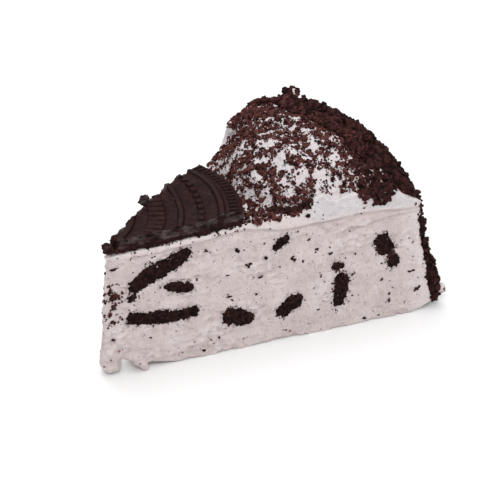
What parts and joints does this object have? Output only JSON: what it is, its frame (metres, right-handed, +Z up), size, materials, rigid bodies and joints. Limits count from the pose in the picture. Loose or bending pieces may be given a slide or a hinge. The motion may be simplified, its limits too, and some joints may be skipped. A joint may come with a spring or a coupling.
{
  "type": "cheesecake slice",
  "caption": "Wedge of chilled cheesecake with cookie pieces in the filling, whipped cream topping, an embossed dark cookie on the tip and a crumb-coated mound and outer side.",
  "frame": {"origin": "middle of the bounding box on the plane that the slice rests on", "axes": "+X from the slice's tip to its outer side, +Z up, the cut with the larger bare face looks to -Y"},
  "size_m": [0.1348, 0.0918, 0.0718],
  "materials": {
    "cheesecake_filling": "smooth set cheesecake, pale pinkish grey, with fine dark cookie specks and knife streaks",
    "whipped_cream": "soft whipped cream, near white, dusted with fine dark crumbs",
    "cake_crumbs": "coarse dark chocolate cake crumbs, dry and rough",
    "chocolate_cookie": "very dark baked chocolate wafer, dull, with a dusty bloom on raised edges"
  },
  "bodies": {
    "root": {"filling": "cheesecake_filling", "cream_topping": "whipped_cream", "rim_crumb_coat": "cake_crumbs", "cookie_disc": "chocolate_cookie", "cookie_tip_fragment": "chocolate_cookie", "cookie_leaning_bar": "chocolate_cookie", "cookie_lying_bar": "chocolate_cookie", "cookie_small_leaf": "chocolate_cookie", "cookie_front_block": "chocolate_cookie", "cookie_middle_block": "chocolate_cookie", "cookie_upper_chip": "chocolate_cookie", "cookie_standing_bar": "chocolate_cookie", "cookie_standing_cap": "chocolate_cookie", "cookie_rear_bar": "chocolate_cookie", "cookie_rear_bar_foot": "chocolate_cookie", "cookie_front_chip": "chocolate_cookie", "cookie_far_bar_front": "chocolate_cookie", "cookie_far_bar_high": "chocolate_cookie", "cookie_far_block_low": "chocolate_cookie", "cookie_far_bar_middle": "chocolate_cookie", "cookie_far_chip_high": "chocolate_cookie", "cookie_far_block_rear": "chocolate_cookie", "cookie_far_bar_rear": "chocolate_cookie", "cookie_far_chip_low": "chocolate_cookie"}
  },
  "joints": []
}
